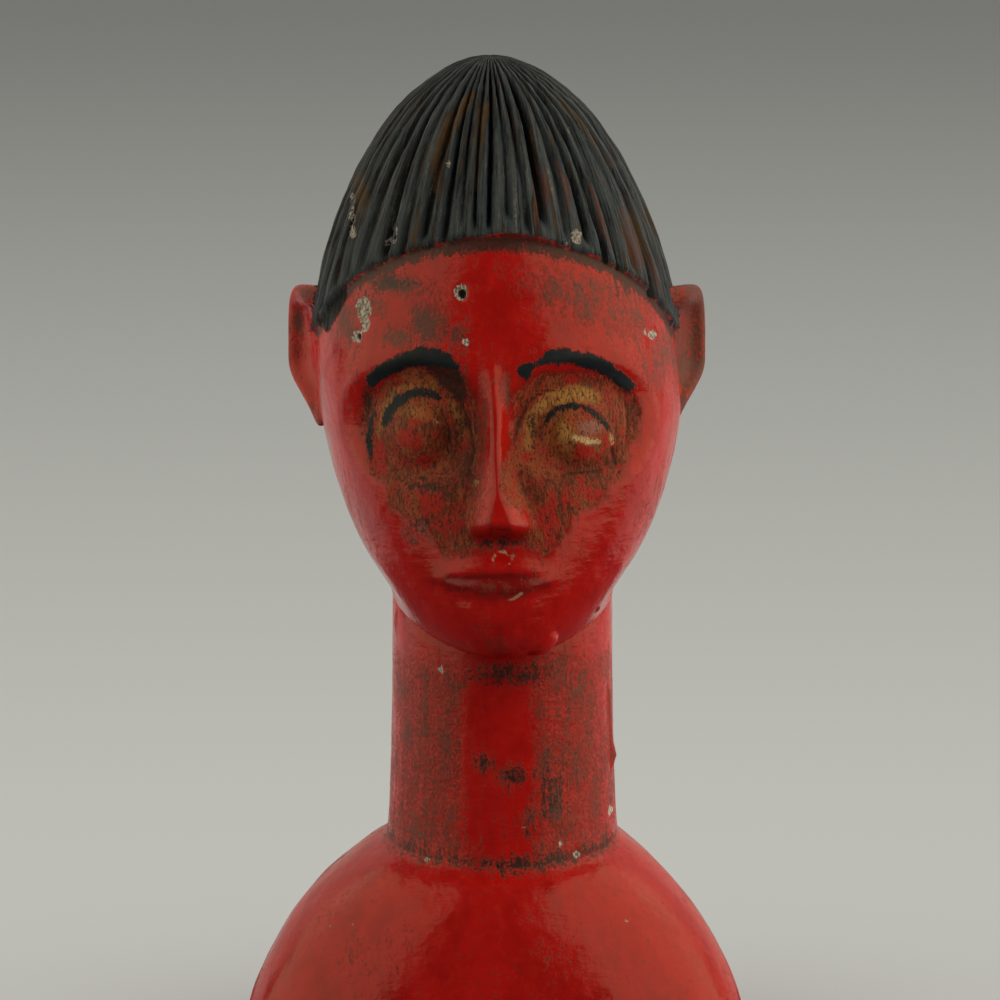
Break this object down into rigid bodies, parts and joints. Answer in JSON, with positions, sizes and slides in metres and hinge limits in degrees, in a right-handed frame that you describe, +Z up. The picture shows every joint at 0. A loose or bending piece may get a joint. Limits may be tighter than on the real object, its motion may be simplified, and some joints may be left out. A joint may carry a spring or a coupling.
{
  "type": "carved spirit spouse bust",
  "caption": "Carved and painted wooden bust of a spirit spouse figure: ribbed hair, long round neck and sloping shoulders, cut flat below.",
  "frame": {"origin": "middle of the flat cut below the shoulders, on the surface that the bust stands on", "axes": "+Z up through the crown, -Y out of the face, +X to the viewer's right when facing the figure"},
  "size_m": [0.0828, 0.0801, 0.159],
  "materials": {
    "painted_wood": "glossy red enamel on the skin, worn blue-black paint on the hair and brows, bare brown wood round the eyes"
  },
  "bodies": {
    "root": {"carved_bust": "painted_wood"}
  },
  "joints": []
}
